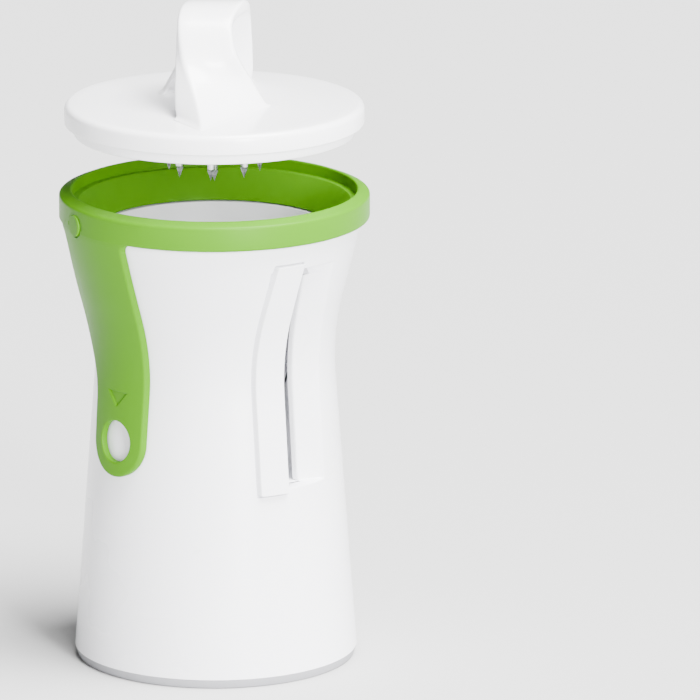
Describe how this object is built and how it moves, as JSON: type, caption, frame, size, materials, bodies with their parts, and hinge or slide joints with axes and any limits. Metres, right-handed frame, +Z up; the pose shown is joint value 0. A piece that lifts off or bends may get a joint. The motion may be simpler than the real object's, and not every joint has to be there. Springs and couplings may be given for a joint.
{
  "type": "hand-held vegetable spiralizer",
  "caption": "Hand-held spiralizer: hourglass housing with side outlet, comb cartridge and cutting cone, green collar with two legs, and a pronged lid turned by its twisted handle.",
  "frame": {"origin": "bottom centre of the foot, on the surface it stands on", "axes": "+Z up along the feed axis, -Y out of the side outlet, legs on +X and -X"},
  "size_m": [0.0856, 0.0856, 0.1846],
  "materials": {
    "white_body": "moulded satin gloss",
    "white_lid": "moulded gloss",
    "green_collar": "moulded satin gloss",
    "inner_white": "moulded matt",
    "grey_foot": "soft matt",
    "blade_steel": "ground",
    "prong_steel": "polished",
    "fastener_steel": "plated"
  },
  "bodies": {
    "housing": {"main_body": "white_body", "foot_ring": "grey_foot", "cutting_cone": "inner_white", "slicing_blade": "blade_steel", "blade_screw_1": "fastener_steel", "blade_screw_2": "fastener_steel", "blade_screw_3": "fastener_steel", "collar_frame": "green_collar", "collar_stud_left": "green_collar", "collar_stud_right": "green_collar"},
    "cartridge": {"comb_insert": "white_body", "comb_blade": "blade_steel", "comb_rivet_1": "fastener_steel", "comb_rivet_2": "fastener_steel"},
    "lid_guide": {"guide_ring": "white_lid"},
    "lid_body": {"lid": "white_lid", "prong_hub": "inner_white", "centre_prong": "prong_steel", "prong_1": "prong_steel", "prong_2": "prong_steel", "prong_3": "prong_steel", "prong_4": "prong_steel", "prong_5": "prong_steel", "prong_6": "prong_steel", "prong_7": "prong_steel", "prong_8": "prong_steel", "hub_screw_1": "fastener_steel", "hub_screw_2": "fastener_steel", "hub_screw_3": "fastener_steel"}
  },
  "joints": [
    {"name": "cartridge_slide", "type": "slide", "parent": "housing", "child": "cartridge", "axis": [0, -1, 0], "range_m": [0, 0.028]},
    {"name": "lid_lift", "type": "slide", "parent": "housing", "child": "lid_guide", "axis": [0, 0, 1], "range_m": [-0.018, 0.06]},
    {"name": "lid_spin", "type": "hinge", "parent": "lid_guide", "child": "lid_body", "pos_m": [0, 0, 0.1541], "axis": [0, 0, 1], "continuous": true}
  ]
}
